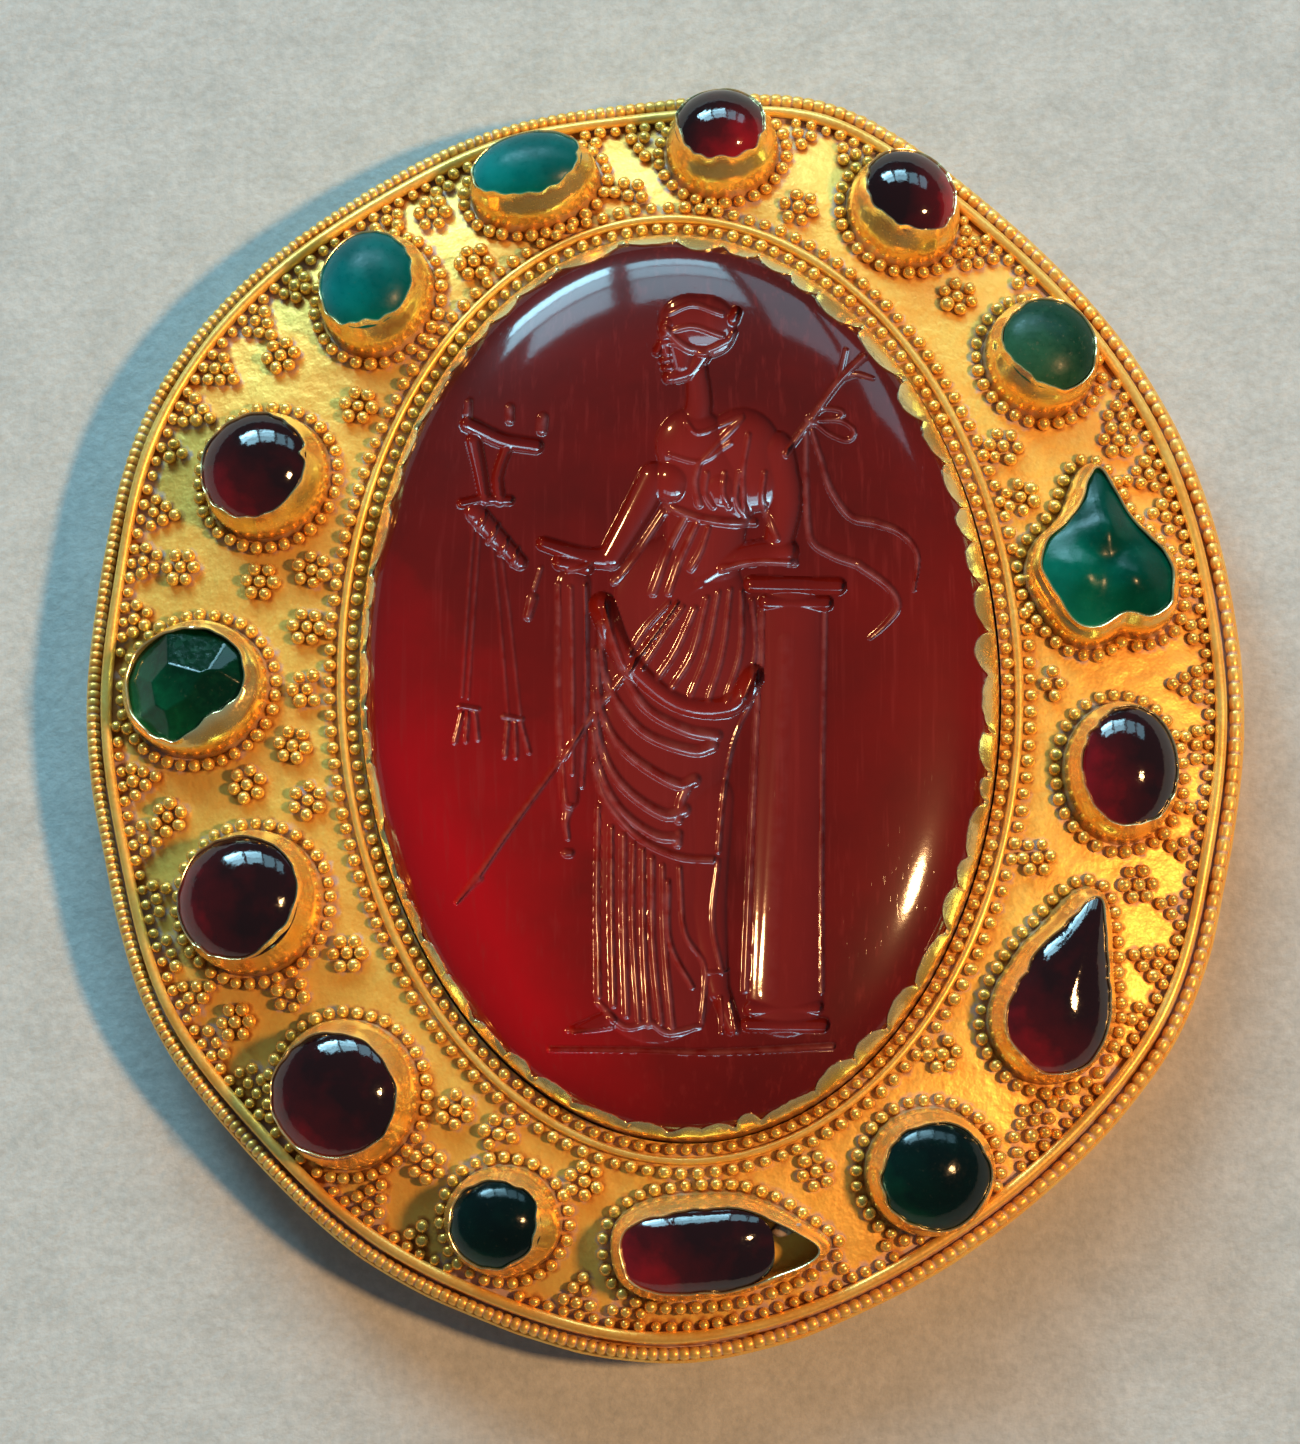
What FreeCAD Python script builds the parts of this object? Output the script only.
import FreeCAD, Part
import math
import os

from FreeCAD import Matrix, Placement, Rotation, Vector

# A domed gold brooch that holds a large engraved gem in a dog-tooth bezel, with fifteen
# small stones in tilted collets on its granulated face. Millimetres, +Z up. The origin is
# the middle of the flat back, +X is the viewer's right and +Y is the top of the figure.

# Driving sizes. Lengths are in millimetres and angles in degrees.
SIZES = {
    "half_width": 26.5,
    "half_length": 29.5,
    # box: back plate, side wall and the flange that closes it
    "back_thickness": 0.4,
    "back_inset": 1.1,
    "wall_inset": 1.3,
    "wall_thickness": 0.35,
    "wall_height": 2.5,
    "flange_thickness": 0.3,
    "flange_width": 2.1,
    # wires along the rim
    "beaded_wire_radius": 0.31,
    "beaded_wire_margin": 0.1,
    "rim_wire_radius": 0.27,
    # domed face plate
    "sheet_thickness": 0.35,
    "skirt_gap": 0.1,
    "skirt_height": 0.55,
    "ledge_margin": 0.04,
    "dome_rise": 2.25,
    # large gem
    "gem_side_clearance": 0.48,
    "gem_end_clearance": 1.15,
    "gem_shift_right": 0.99,
    "gem_shift_up": 1.01,
    "gem_foot_height": 2.25,
    "gem_foot_inset": 0.9,
    "gem_dome_height": 3.75,
    # bezel that holds the gem
    "bezel_thickness": 0.22,
    "bezel_foot": 0.6,
    "bezel_height": 0.95,
    "bezel_girdle_drop": 0.2,
    "tooth_root": 0.08,
    "tooth_height": 0.4,
    "tooth_length": 0.42,
    "bezel_wire_radius": 0.2,
    # granulation
    "granule_radius": 0.28,
    "granule_pitch": 0.78,
    # collets, in the frame of each setting
    "collet_height": 1.7,
    "collet_wall": 0.2,
    "collet_flare": 0.25,
    "collet_girdle_drop": 0.45,
    "stone_floor": 0.15,
    "collet_09_tail": 2.0,
    # clearances
    "seat_gap": 0.03,
    "opening_gap": 0.1,
    "mastic_gap": 0.12,
    "mastic_relief": 0.4,
    # angle
    "gem_lean_angle": 2.6,
}

# Each setting in clockwise order from the upper left: the angle of its direction from the
# middle of the gem, how far its foot stands inside the ledge, and the size of its stone. A
# foot that stands over the ledge is notched for the rim wire. The stone's own axis is
# upright, and the turn is about it.
SETTINGS = {
    "01": {"angle": 105.7, "standoff": 0.2, "width": 5.1, "length": 3.6, "dome": 1.1, "turn_angle": 10},
    "02": {"angle": 85.6, "standoff": -0.6, "width": 4.2, "length": 4.2, "dome": 1.5, "turn_angle": 0},
    "03": {"angle": 65.3, "standoff": -0.6, "width": 4.1, "length": 4.6, "dome": 1.5, "turn_angle": 25},
    "04": {"angle": 42.5, "standoff": -0.2, "width": 4.3, "length": 4.6, "dome": 1.2, "turn_angle": 0},
    "05": {"angle": 14.4, "standoff": 1.12, "width": 6.0, "length": 6.0, "dome": 1.2, "turn_angle": 5},
    "06": {"angle": -12.2, "standoff": 1.43, "width": 4.3, "length": 5.5, "dome": 1.5, "turn_angle": 0},
    "07": {"angle": -42.5, "standoff": 0.89, "width": 5.0, "length": 5.0, "dome": 1.5, "turn_angle": -18},
    "08": {"angle": -63.5, "standoff": -0.35, "width": 4.9, "length": 4.8, "dome": 1.6, "turn_angle": 0},
    "09": {"angle": -88.2, "standoff": 1.2, "width": 6.9, "length": 3.8, "dome": 1.3, "turn_angle": 4},
    "10": {"angle": -108.1, "standoff": 0.62, "width": 4.3, "length": 4.0, "dome": 1.4, "turn_angle": 0},
    "11": {"angle": -129.2, "standoff": 0.34, "width": 5.9, "length": 5.8, "dome": 1.7, "turn_angle": 0},
    "12": {"angle": -153.5, "standoff": 1.76, "width": 5.7, "length": 5.6, "dome": 1.8, "turn_angle": 0},
    "13": {"angle": 179.2, "standoff": 0.65, "width": 5.9, "length": 5.3, "dome": 1.3, "turn_angle": 0},
    "14": {"angle": 151.8, "standoff": 2.7, "width": 5.0, "length": 5.0, "dome": 1.6, "turn_angle": 0},
    "15": {"angle": 126.8, "standoff": 1.1, "width": 4.4, "length": 4.9, "dome": 1.4, "turn_angle": 0},
}

# Plan outline, hammered out by hand and so a little uneven: one point every fifteen
# degrees, as shares of the half width and the half length.
OUTLINE_SHARES = [
    (1.000, 0.000), (0.969, 0.233), (0.883, 0.457), (0.734, 0.658), (0.536, 0.832), (0.291, 0.974),
    (0.000, 0.983), (-0.283, 0.945), (-0.539, 0.836), (-0.761, 0.682), (-0.916, 0.474), (-0.980, 0.235),
    (-1.000, 0.000), (-0.961, -0.231), (-0.884, -0.457), (-0.727, -0.652), (-0.530, -0.822),
    (-0.281, -0.939), (0.000, -0.998), (0.283, -0.946), (0.533, -0.827), (0.744, -0.667),
    (0.902, -0.467), (0.972, -0.233),
]
# The dome as shares of its run from ledge to opening. It bends most near the ledge.
DOME_SHARES = (0.0, 0.22, 0.5, 1.0)
DOME_ROUNDNESS = 1.8
# The gem above its girdle: share of the plan size left, and share of the height reached.
GEM_SHARES = ((1.0, 0.0), (0.94, 0.34), (0.77, 0.64), (0.5, 0.87), (0.2, 0.98))
# A small stone above its girdle, in the same way.
STONE_SHARES = ((0.82, 0.52), (0.36, 1.0))
# The collet's lip is rubbed over the stone by this share of the stone's radius.
LIP_SHARE = 0.05
FOOT_SHARE = 0.86

# Stones that aren't ovals, as shares of an oval's radius, evenly round from the tip: an ivy
# leaf with a long point and two lobes, and a drop. The squared oval has a power of its own.
LEAF_SHARES = (1.53, 1.11, 0.92, 0.89, 0.95, 0.98, 1.0, 0.95, 0.95, 0.98, 1.03, 1.01,
               0.87, 0.82, 0.99, 1.1, 1.1, 1.03, 0.99, 0.89, 0.82, 0.79, 0.84, 1.07)
DROP_SHARES = (2.2, 1.52, 1.19, 0.99, 0.93, 0.92, 0.95, 0.99, 1.02, 1.05,
               1.08, 1.08, 1.06, 1.03, 0.99, 0.96, 0.96, 1.0, 1.14, 1.5)
FORMS = {
    "05": {"shares": LEAF_SHARES, "sides": len(LEAF_SHARES)},
    "07": {"shares": DROP_SHARES, "sides": len(DROP_SHARES)},
    "09": {"power": 2.8, "sides": 20},
}
OVAL_POWER = 2
TAIL_POWER = 20
TIP_ANGLE = 90

# How many flat facets stand for a round: the rim and the gem, the hidden core, a small
# stone and the sections of the wires.
FACETS = 50
CORE_FACETS = 25
SIDES = 14
BEADED_WIRE_SIDES = 5
RIM_WIRE_SIDES = 5
BEZEL_WIRE_SIDES = 4
FLATNESS_SHARE = 0.000001
MITRE_SHARE = 0.55

doc = FreeCAD.newDocument("intaglio_brooch")
sheet = doc.addObject("Spreadsheet::Sheet", "dimensions")


def fill_sheet():
    rows = dict(SIZES)
    for number, setting in SETTINGS.items():
        for name, value in setting.items():
            rows[f"stone_{number}_{name}"] = value
    for row, (alias, value) in enumerate(rows.items(), start=1):
        sheet.set(f"A{row}", alias.replace("_", " "))
        sheet.set(f"B{row}", str(value))
        sheet.setAlias(f"B{row}", alias)
    doc.recompute()


def size(alias):
    return float(getattr(sheet, alias))


fill_sheet()

# Heights above the back, from the sheet.
WALL_FOOT = size("back_thickness")
FLANGE_FOOT = WALL_FOOT + size("wall_height")
FLANGE_TOP = FLANGE_FOOT + size("flange_thickness")
LEDGE_TOP = FLANGE_TOP + size("skirt_height")
DOME_TOP = LEDGE_TOP + size("dome_rise")

# Distances inwards from the outline.
BEADED_WIRE_INSET = size("beaded_wire_margin") + size("beaded_wire_radius")
SKIRT_INSET = BEADED_WIRE_INSET + size("beaded_wire_radius") + size("skirt_gap")
RIM_WIRE_INSET = SKIRT_INSET + size("rim_wire_radius")
LEDGE_INSET = RIM_WIRE_INSET + size("rim_wire_radius") + size("ledge_margin")

# Distances outwards from the gem's girdle.
BEZEL_INNER = size("seat_gap")
BEZEL_OUTER = BEZEL_INNER + size("bezel_thickness")
OPENING = BEZEL_OUTER + size("opening_gap")
INNER_ROW = OPENING + size("seat_gap") + size("granule_radius")
BEZEL_WIRE = INNER_ROW + size("granule_radius") + size("seat_gap") + size("bezel_wire_radius")
OUTER_ROW = BEZEL_WIRE + size("bezel_wire_radius") + size("seat_gap") + size("granule_radius")

# How far a collet's foot spreads round its stone.
FOOT_SPREAD = size("seat_gap") + size("collet_wall") + size("collet_flare")


def gem_room(half, shift, number, span):
    """Half the gem's size: what the rim, one setting and the wire round the bezel leave."""
    border = LEDGE_INSET + size(f"stone_{number}_standoff") + size(f"stone_{number}_{span}")
    return half - shift - border - 2 * FOOT_SPREAD - BEZEL_WIRE - size("bezel_wire_radius")


# The leaf at the viewer's right and the squared stone at the foot leave the least room.
GEM_HALF_WIDTH = gem_room(size("half_width"), size("gem_shift_right"), "05", "width")
GEM_HALF_WIDTH -= size("gem_side_clearance")
GEM_HALF_LENGTH = gem_room(size("half_length"), -size("gem_shift_up"), "09", "length")
GEM_HALF_LENGTH -= size("gem_end_clearance")
GEM_MIDDLE = Vector(size("gem_shift_right"), size("gem_shift_up"), 0)
BEZEL_TOP = DOME_TOP + size("bezel_height")
GIRDLE = BEZEL_TOP - size("bezel_girdle_drop")
GEM_FOOT = GIRDLE - size("gem_foot_height")


def traced_outline(count):
    """Points of the plan outline with the inward normal of each, along a closed curve."""
    points = [Vector(across, along, 0) for across, along in OUTLINE_SHARES]
    curve = Part.BSplineCurve()
    curve.interpolate(Points=points, PeriodicFlag=True)
    first, last = curve.FirstParameter, curve.LastParameter
    steps = [first + (last - first) * index / count for index in range(count)]
    shares = [curve.value(step) for step in steps]
    low = Vector(min(p.x for p in shares), min(p.y for p in shares), 0)
    high = Vector(max(p.x for p in shares), max(p.y for p in shares), 0)
    middle = (low + high) / 2
    span = (high - low) / 2
    across, along = size("half_width") / span.x, size("half_length") / span.y
    traced = []
    for step, share in zip(steps, shares):
        place = Vector((share.x - middle.x) * across, (share.y - middle.y) * along, 0)
        slope = curve.tangent(step)[0]
        tangent = Vector(slope.x * across, slope.y * along, 0)
        traced.append((place, Vector(-tangent.y, tangent.x, 0).normalize()))
    return traced


OUTLINE = traced_outline(FACETS)


def contour(inset, height):
    """The outline moved inwards and lifted."""
    return [place + normal * inset + Vector(0, 0, height) for place, normal in OUTLINE]


def heading(degrees):
    angle = math.radians(degrees)
    return Vector(math.cos(angle), math.sin(angle), 0)


def oval_radius(degrees, outwards):
    """Distance from the gem's middle to its girdle, moved outwards, in one direction."""
    angle = math.radians(degrees - size("gem_lean_angle"))
    across = math.cos(angle) / (GEM_HALF_WIDTH + outwards)
    along = math.sin(angle) / (GEM_HALF_LENGTH + outwards)
    return 1 / math.hypot(across, along)


LEDGE_RING = contour(LEDGE_INSET, 0)
DIRECTIONS = [math.degrees(math.atan2(p.y - GEM_MIDDLE.y, p.x - GEM_MIDDLE.x)) for p in LEDGE_RING]


def with_midpoints(directions):
    """The same directions with another halfway on from each."""
    doubled = []
    for degrees, following in zip(directions, directions[1:] + directions[:1]):
        doubled += [degrees, degrees + (following - degrees) % 360 / 2]
    return doubled


def oval(outwards, height, share=1, directions=DIRECTIONS):
    """A closed ring round the gem, with its points opposite those of the outline."""
    ring = []
    for degrees in directions:
        reach = oval_radius(degrees, outwards) * share
        ring.append(GEM_MIDDLE + heading(degrees) * reach + Vector(0, 0, height))
    return ring


def ledge_radius(degrees):
    """Distance from the gem's middle to the inner edge of the ledge in one direction."""
    ray = heading(degrees)
    for index, start in enumerate(LEDGE_RING):
        end = LEDGE_RING[(index + 1) % FACETS]
        from_middle, edge = start - GEM_MIDDLE, end - start
        crossing = ray.x * edge.y - ray.y * edge.x
        if not crossing:
            continue
        reach = (from_middle.x * edge.y - from_middle.y * edge.x) / crossing
        along = (from_middle.x * ray.y - from_middle.y * ray.x) / crossing
        if reach > 0 and abs(2 * along - 1) <= 1 + FLATNESS_SHARE:
            return reach
    raise RuntimeError("the ledge is open")


def dome_height(share):
    """Height of the face plate at a share of the run from the ledge to the opening."""
    share = min(max(share, 0), 1)
    return LEDGE_TOP + size("dome_rise") * (1 - (1 - share) ** DOME_ROUNDNESS)


def plate_point(degrees, reach):
    """The face plate's surface at a distance from the gem's middle."""
    outer, inner = ledge_radius(degrees), oval_radius(degrees, OPENING)
    height = dome_height((outer - reach) / (outer - inner))
    return GEM_MIDDLE + heading(degrees) * reach + Vector(0, 0, height)


def over_plate(point):
    """The face plate's surface straight below a point, and how far that is inside the ledge."""
    offset = point - GEM_MIDDLE
    reach = math.hypot(offset.x, offset.y)
    degrees = math.degrees(math.atan2(offset.y, offset.x))
    return plate_point(degrees, reach), ledge_radius(degrees) - reach


def plate_normal(degrees, reach):
    step = size("sheet_thickness")
    middle = plate_point(degrees, reach)
    outwards = plate_point(degrees, reach + step) - middle
    side = over_plate(middle + heading(degrees + 90) * step)[0] - middle
    return outwards.cross(side).normalize()


def closed(points):
    return Part.makePolygon(points + points[:1])


def flat_faces(lower, upper):
    """The faces between two rings: one flat face where the four corners allow, or two."""
    faces = []
    for index, start in enumerate(lower):
        following = (index + 1) % len(lower)
        end, far_end, far_start = lower[following], upper[following], upper[index]
        square = (end - start).cross(far_end - start)
        if abs(square.dot(far_start - start)) < FLATNESS_SHARE * square.Length * square.Length:
            faces.append(Part.Face(closed([start, end, far_end, far_start])))
        else:
            faces.append(Part.Face(closed([start, end, far_end])))
            faces.append(Part.Face(closed([start, far_end, far_start])))
    return faces


def solid_from(faces):
    shell = Part.Shell(faces)
    shell.sewShape()
    solid = Part.Solid(shell)
    if solid.Volume < 0:
        solid.reverse()
    return solid


def ring_solid(rings):
    """A solid that runs all the way round, from the rings at the corners of its section."""
    faces = []
    for ring, following in zip(rings, rings[1:] + rings[:1]):
        faces += flat_faces(ring, following)
    return solid_from(faces)


def stacked_solid(rings):
    """A solid with flat ends, from the rings of its sides."""
    faces = [Part.Face(closed(rings[0])), Part.Face(closed(rings[-1]))]
    for ring, following in zip(rings, rings[1:]):
        faces += flat_faces(ring, following)
    return solid_from(faces)


def feature(label, shape, placement=None):
    """A document object for a form that no sketched feature gives."""
    part = doc.addObject("Part::Feature", label)
    part.Shape = shape
    part.Placement = placement or Placement()
    part.Label = label
    return part


def padded_sheet(label, rings, foot, thickness):
    """A flat sheet: the rings of its sketch, padded. Foot and thickness name cells."""
    body = doc.addObject("PartDesign::Body", label)
    sketch = body.newObject("Sketcher::SketchObject", f"{label}_sketch")
    planes = [item for item in body.Origin.OriginFeatures if item.Role == "XY_Plane"]
    sketch.AttachmentSupport = [(planes[0], "")]
    sketch.MapMode = "FlatFace"
    for ring in rings:
        for start, end in zip(ring, ring[1:] + ring[:1]):
            sketch.addGeometry(Part.LineSegment(start, end), False)
    if foot:
        sketch.setExpression("AttachmentOffset.Base.z", foot)
    pad = body.newObject("PartDesign::Pad", f"{label}_pad")
    pad.Profile = sketch
    pad.setExpression("Length", f"dimensions.{thickness}")
    body.Tip = pad
    body.Label = label
    return body


def make_box():
    """Back plate, side wall and flange: flat sheet and strip, soldered into a shallow box."""
    back = padded_sheet("back_plate", [contour(size("back_inset"), 0)], None, "back_thickness")
    wall_outer, wall_inner = size("wall_inset"), size("wall_inset") + size("wall_thickness")
    wall_rings = [contour(wall_outer, 0), contour(wall_inner, 0)]
    wall = padded_sheet("side_wall", wall_rings, "dimensions.back_thickness", "wall_height")
    flange_rings = [contour(0, 0), contour(size("flange_width"), 0)]
    foot = "dimensions.back_thickness + dimensions.wall_height"
    flange = padded_sheet("rim_flange", flange_rings, foot, "flange_thickness")
    return [back, wall, flange]


def wire_ring(ring_at, radius, corners):
    """A wire bent round a closed line, with a many-sided section."""
    rings = []
    for corner in range(corners):
        turn = heading(180 * (2 * corner + 1) / corners)
        rings.append(ring_at(turn.x * radius, turn.y * radius))
    return ring_solid(rings)


def make_rim_wires():
    """The beaded wire on the flange and the plain wire on the ledge above it."""
    radius = size("beaded_wire_radius")
    level = FLANGE_TOP + radius

    def beaded_at(across, up):
        return contour(BEADED_WIRE_INSET + across, level + up)

    plain_radius = size("rim_wire_radius")
    plain_level = LEDGE_TOP + plain_radius

    def plain_at(across, up):
        return contour(RIM_WIRE_INSET + across, plain_level + up)

    beaded = wire_ring(beaded_at, radius, BEADED_WIRE_SIDES)
    plain = wire_ring(plain_at, plain_radius, RIM_WIRE_SIDES)
    return [feature("beaded_wire", beaded), feature("rim_wire", plain)]


def blend(outer, inner, share, height):
    """A ring part of the way from one ring to another, at one height."""
    ring = []
    for start, end in zip(outer, inner):
        place = start + (end - start) * share
        ring.append(Vector(place.x, place.y, height))
    return ring


def make_face_plate():
    """The domed sheet: skirt, ledge for the rim wire, dome and the opening for the gem."""
    thickness = size("sheet_thickness")
    outer, inner = LEDGE_RING, oval(OPENING, 0)
    rings = [contour(SKIRT_INSET, FLANGE_TOP), contour(SKIRT_INSET, LEDGE_TOP)]
    rings += [blend(outer, inner, share, dome_height(share)) for share in DOME_SHARES]
    under = [share for share in reversed(DOME_SHARES) if share != DOME_SHARES[1]]
    rings += [blend(outer, inner, share, dome_height(share) - thickness) for share in under]
    skirt_inner = SKIRT_INSET + thickness
    rings += [contour(skirt_inner, LEDGE_TOP - thickness), contour(skirt_inner, FLANGE_TOP)]
    return [feature("face_plate", ring_solid(rings))]


def make_mastic_core():
    """The resin that fills the box and beds the gem. It is sealed in and never seen."""
    side = size("flange_width") + size("mastic_gap")
    crown = size("sheet_thickness") + size("mastic_gap")
    outer, inner = contour(side, 0), oval(OPENING + size("mastic_relief"), 0)
    rings = [contour(side, WALL_FOOT), contour(side, LEDGE_TOP - crown)]
    rings += [blend(outer, inner, share, dome_height(share) - crown) for share in DOME_SHARES[2:]]
    rings.append(blend(outer, inner, 1, GEM_FOOT))
    step = FACETS // CORE_FACETS
    return [feature("mastic_core", stacked_solid([ring[::step] for ring in rings]))]


def make_gem():
    """The large domed gem. Its foot is bevelled in, so that it beds in the resin."""
    rings = [oval(-size("gem_foot_inset"), GEM_FOOT)]
    for plan_share, height_share in GEM_SHARES:
        rings.append(oval(0, GIRDLE + size("gem_dome_height") * height_share, plan_share))
    return [feature("intaglio_gem", stacked_solid(rings))]


def make_bezel():
    """The strip round the gem. Every second point of its top is a tooth bent over the gem."""
    directions = with_midpoints(DIRECTIONS)
    level = DOME_TOP - size("bezel_foot")

    def strip(outwards, height):
        return oval(outwards, height, 1, directions)

    middle = (BEZEL_INNER + BEZEL_OUTER) / 2
    valleys = oval(middle, BEZEL_TOP + size("tooth_root"), 1, directions)
    tips = oval(middle - size("tooth_length"), BEZEL_TOP + size("tooth_height"), 1, directions)
    teeth = [tips[index] if index % 2 else valley for index, valley in enumerate(valleys)]
    rings = [strip(BEZEL_OUTER, level), strip(BEZEL_OUTER, BEZEL_TOP), teeth]
    rings += [strip(BEZEL_INNER, BEZEL_TOP), strip(BEZEL_INNER, level)]
    return [feature("gem_bezel", ring_solid(rings))]


def make_bezel_wire():
    """The plain wire that parts the two rows of granules round the bezel."""
    radius = size("bezel_wire_radius")

    def wire_at(across, up):
        return oval(BEZEL_WIRE + across, DOME_TOP + radius + up)

    return [feature("bezel_wire", wire_ring(wire_at, radius, BEZEL_WIRE_SIDES))]


def spaced(ring, pitch):
    """Points a steady pitch apart along a closed ring."""
    lengths = [(end - start).Length for start, end in zip(ring, ring[1:] + ring[:1])]
    count = round(sum(lengths) / pitch)
    step = sum(lengths) / count
    points, index, passed = [], 0, 0
    for number in range(count):
        while number * step > passed + lengths[index]:
            passed += lengths[index]
            index += 1
        share = (number * step - passed) / lengths[index]
        start, end = ring[index], ring[(index + 1) % len(ring)]
        points.append(start + (end - start) * share)
    return points


def make_granule():
    """One granule, as a ball of eight flat faces about its middle."""
    radius = size("granule_radius")
    waist = [heading(90 * index) * radius for index in range(4)]
    faces = []
    for tip in (Vector(0, 0, radius), Vector(0, 0, -radius)):
        for start, end in zip(waist, waist[1:] + waist[:1]):
            faces.append(Part.Face(closed([start, end, tip])))
    return solid_from(faces)


GRANULE = make_granule()


def granules(places, placement):
    """A group of granules in a frame, each resting on the face plate below its place."""
    lift = Vector(0, 0, size("granule_radius") + size("seat_gap"))
    frame = placement.inverse()
    middles = [frame.multVec(over_plate(place)[0] + lift) for place in places]
    return Part.makeCompound([GRANULE.translated(middle) for middle in middles])


def form_share(shares, degrees):
    """The share at a direction, between the two that lie beside it."""
    position = (degrees - TIP_ANGLE) % 360 * len(shares) / 360
    index = math.floor(position)
    low, high = shares[index % len(shares)], shares[(index + 1) % len(shares)]
    return low + (high - low) * (position - index)


def stone_radius(number, degrees):
    """Radius of a stone's girdle in one direction of its own frame."""
    form = FORMS.get(number, {})
    angle = math.radians(degrees)
    power = form.get("power", OVAL_POWER)
    across = abs(math.cos(angle)) / (size(f"stone_{number}_width") / 2)
    along = abs(math.sin(angle)) / (size(f"stone_{number}_length") / 2)
    radius = (across ** power + along ** power) ** (-1 / power)
    return radius * form_share(form.get("shares", (1, 1)), degrees)


def pushed_out(ring, distance):
    """A ring about an upright axis with every side moved outwards by the same distance."""
    pushed = []
    for index, point in enumerate(ring):
        arriving = (point - ring[index - 1]).normalize()
        leaving = (ring[(index + 1) % len(ring)] - point).normalize()
        side = Vector(arriving.y, -arriving.x, 0)
        between = Vector(arriving.y + leaving.y, -arriving.x - leaving.x, 0).normalize()
        pushed.append(point + between * (distance / max(between.dot(side), MITRE_SHARE)))
    return pushed


def stone_ring(number, height, share=1, outwards=0, tail=0):
    """A ring round a stone in its own frame, one point on the tip, with room for a tail."""
    sides = FORMS.get(number, {}).get("sides", SIDES)
    ring = []
    for index in range(sides):
        degrees = TIP_ANGLE + 360 * index / sides
        reach = stone_radius(number, degrees) * share
        reach += tail * max(heading(degrees).x, 0) ** TAIL_POWER
        ring.append(heading(degrees) * reach + Vector(0, 0, height))
    return pushed_out(ring, outwards)


def setting_placement(number):
    """Where a setting stands on the dome, and its lean, which is the dome's own there."""
    degrees = size(f"stone_{number}_angle")
    turn = size(f"stone_{number}_turn_angle")
    half = stone_radius(number, degrees - turn) + FOOT_SPREAD
    reach = ledge_radius(degrees) - size(f"stone_{number}_standoff") - half
    upright = plate_normal(degrees, reach)
    side = Vector(0, 1, 0).cross(upright).normalize()
    front = upright.cross(side)
    frame = Matrix(side.x, front.x, upright.x, 0, side.y, front.y, upright.y, 0,
                   side.z, front.z, upright.z, 0, 0, 0, 0, 1)
    foot = plate_point(degrees, reach) + upright * size("seat_gap")
    turned = Rotation(Vector(0, 0, 1), turn)
    return Placement(foot, Placement(frame).Rotation.multiply(turned))


def make_stone(number, placement):
    """A small domed stone, widest where the collet's lip closes over it."""
    girdle = size("collet_height") - size("collet_girdle_drop")
    rings = [stone_ring(number, size("stone_floor"), FOOT_SHARE), stone_ring(number, girdle)]
    dome = size(f"stone_{number}_dome")
    for plan_share, height_share in STONE_SHARES:
        rings.append(stone_ring(number, size("collet_height") + dome * height_share, plan_share))
    return feature(f"stone_{number}", stacked_solid(rings), placement)


def collet_tail(number):
    """Only the collet of the squared stone is pinched out into a tail."""
    return size("collet_09_tail") if number == "09" else 0


def rim_room():
    """The room that the rim wire needs on its ledge, open outwards over the skirt."""
    foot = LEDGE_TOP - size("sheet_thickness")
    top = LEDGE_TOP + 2 * size("rim_wire_radius") + size("seat_gap")
    return ring_solid([
        contour(BEADED_WIRE_INSET, foot), contour(BEADED_WIRE_INSET, top),
        contour(LEDGE_INSET, top), contour(LEDGE_INSET, foot),
    ])


RIM_ROOM = rim_room()


def make_collet(number, placement):
    """A strip bent round a stone, flared at its foot and rubbed over at its lip."""
    tail = collet_tail(number)
    wall, gap = size("collet_wall"), size("seat_gap")
    top, girdle = size("collet_height"), size("collet_height") - size("collet_girdle_drop")
    rings = [
        stone_ring(number, 0, 1, FOOT_SPREAD, tail),
        stone_ring(number, girdle, 1, gap + wall, tail),
        stone_ring(number, top, 1 - LIP_SHARE, 0, tail),
        stone_ring(number, girdle, 1, gap, tail),
        stone_ring(number, 0, 1, gap + size("collet_flare"), tail),
    ]
    strip = ring_solid(rings)
    room = RIM_ROOM.copy()
    room.Placement = placement.inverse()
    if not strip.distToShape(room)[0]:
        strip = max(strip.cut(room).Solids, key=lambda solid: solid.Volume)
    return feature(f"collet_{number}", strip, placement)


def clear_of_collets(place, placements):
    """Whether a granule at a place stays off the foot of every collet."""
    for number, placement in placements.items():
        offset = placement.inverse().multVec(place)
        degrees = math.degrees(math.atan2(offset.y, offset.x))
        foot = stone_radius(number, degrees) + FOOT_SPREAD
        foot += collet_tail(number) * max(heading(degrees).x, 0)
        if math.hypot(offset.x, offset.y) < foot:
            return False
    return True


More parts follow.
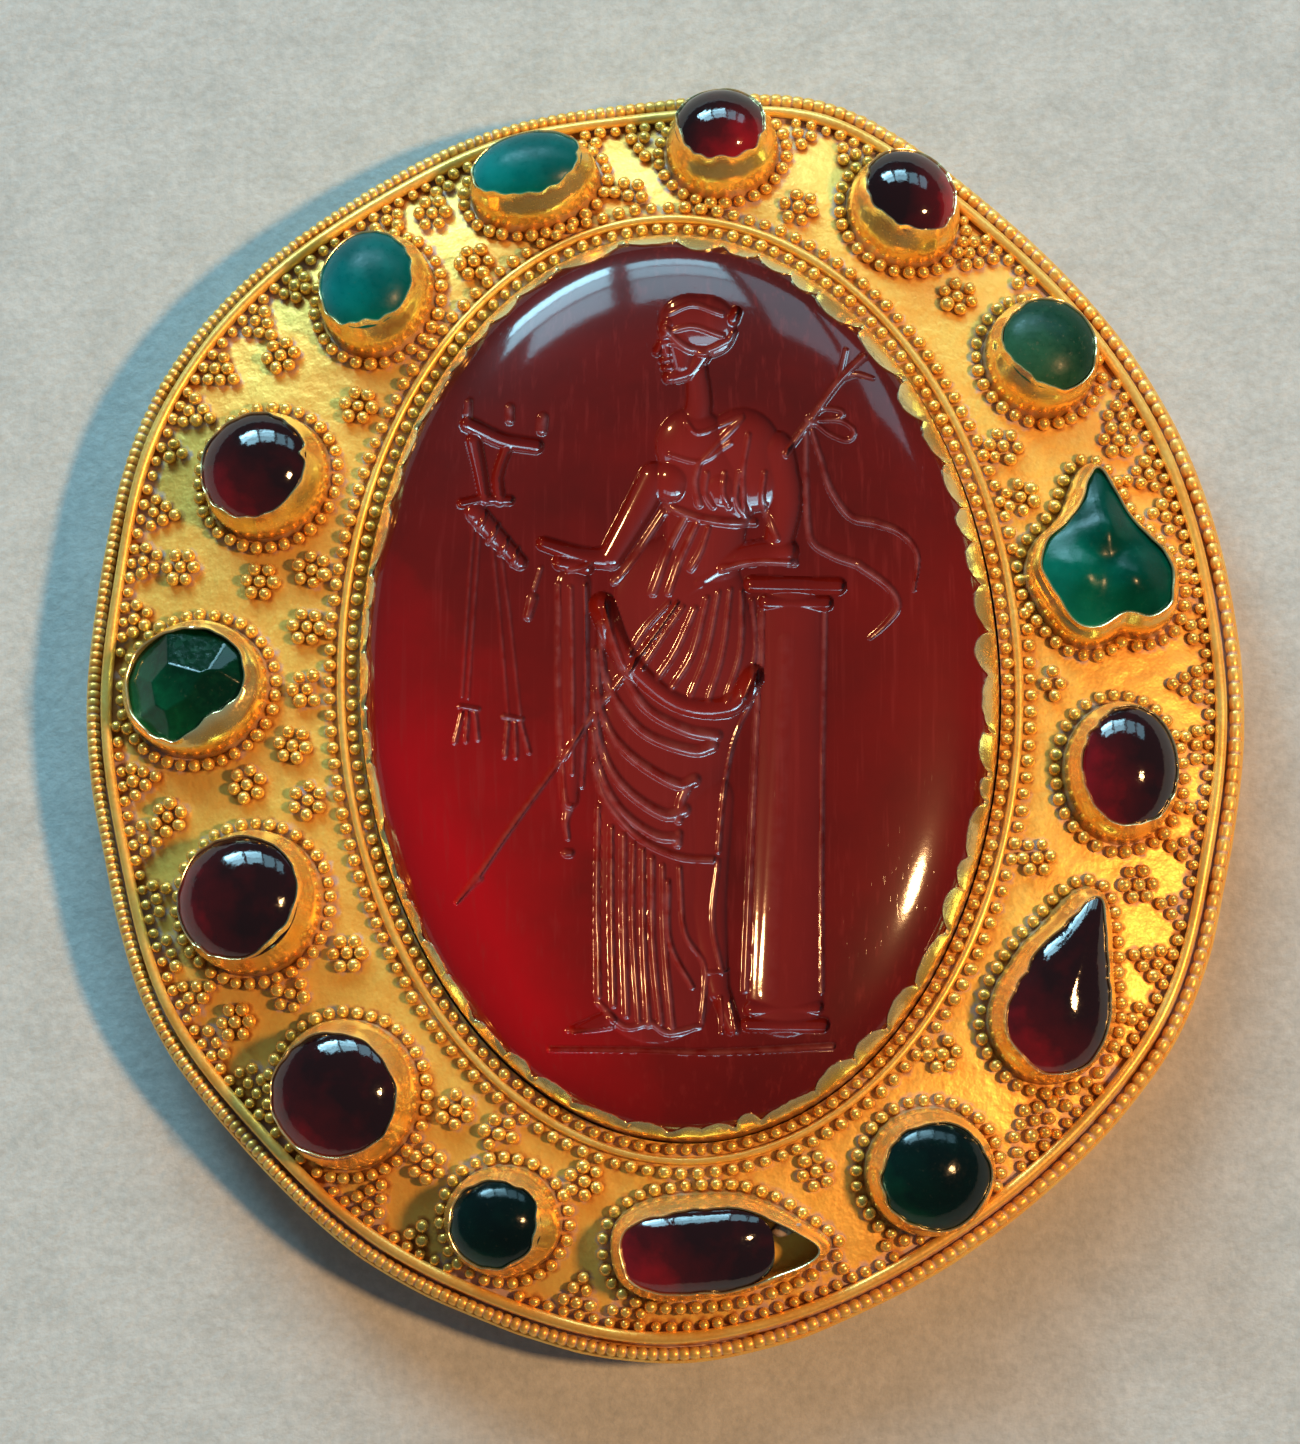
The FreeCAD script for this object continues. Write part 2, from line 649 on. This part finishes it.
def make_granule_ring(number, placement, others, taken):
    """Granules round a collet's foot, left out where the rim, the bezel or others stand."""
    radius, gap = size("granule_radius"), size("seat_gap")
    outwards = FOOT_SPREAD + gap + radius
    ring = stone_ring(number, 0, 1, outwards, collet_tail(number))
    bezel_edge = OUTER_ROW + radius + gap
    places = []
    for place in spaced([placement.multVec(point) for point in ring], size("granule_pitch")):
        surface, inside = over_plate(place)
        offset = surface - GEM_MIDDLE
        degrees = math.degrees(math.atan2(offset.y, offset.x))
        outside = math.hypot(offset.x, offset.y) - oval_radius(degrees, bezel_edge)
        apart = all((surface - other).Length > 2 * radius for other in taken)
        if min(inside, outside) > radius and apart and clear_of_collets(surface, others):
            places.append(surface)
            taken.append(surface)
    return feature(f"granule_ring_{number}", granules(places, placement), placement)


def make_bezel_granules(placements):
    """The rows of granules on both sides of the bezel wire."""
    places = []
    for outwards in (INNER_ROW, OUTER_ROW):
        for place in spaced(oval(outwards, 0), size("granule_pitch")):
            if clear_of_collets(over_plate(place)[0], placements):
                places.append(place)
    return feature("bezel_granules", granules(places, Placement()))


def make_settings():
    placements = {number: setting_placement(number) for number in SETTINGS}
    parts = [make_bezel_granules(placements)]
    taken = []
    for number, placement in placements.items():
        others = {other: placements[other] for other in placements if other != number}
        parts.append(make_collet(number, placement))
        parts.append(make_stone(number, placement))
        parts.append(make_granule_ring(number, placement, others, taken))
    return parts


def check(parts):
    doc.recompute()
    for item in doc.Objects:
        if "Invalid" in item.State or "Error" in item.State:
            raise RuntimeError(f"{item.Label} failed")
    for part in parts:
        if part.Shape.isNull() or not part.Shape.isValid():
            raise RuntimeError(f"{part.Label} has a bad shape")


def write(parts):
    os.makedirs("parts", exist_ok=True)
    for part in parts:
        part.Shape.exportStep(f"parts/{part.Label}.step")
        solids = len(part.Shape.Solids)
        print(f"{part.Label}: {solids} solids, {part.Shape.Volume:.2f} mm3")


parts = make_box() + make_rim_wires() + make_face_plate() + make_mastic_core()
parts += make_gem() + make_bezel() + make_bezel_wire() + make_settings()
check(parts)
write(parts)
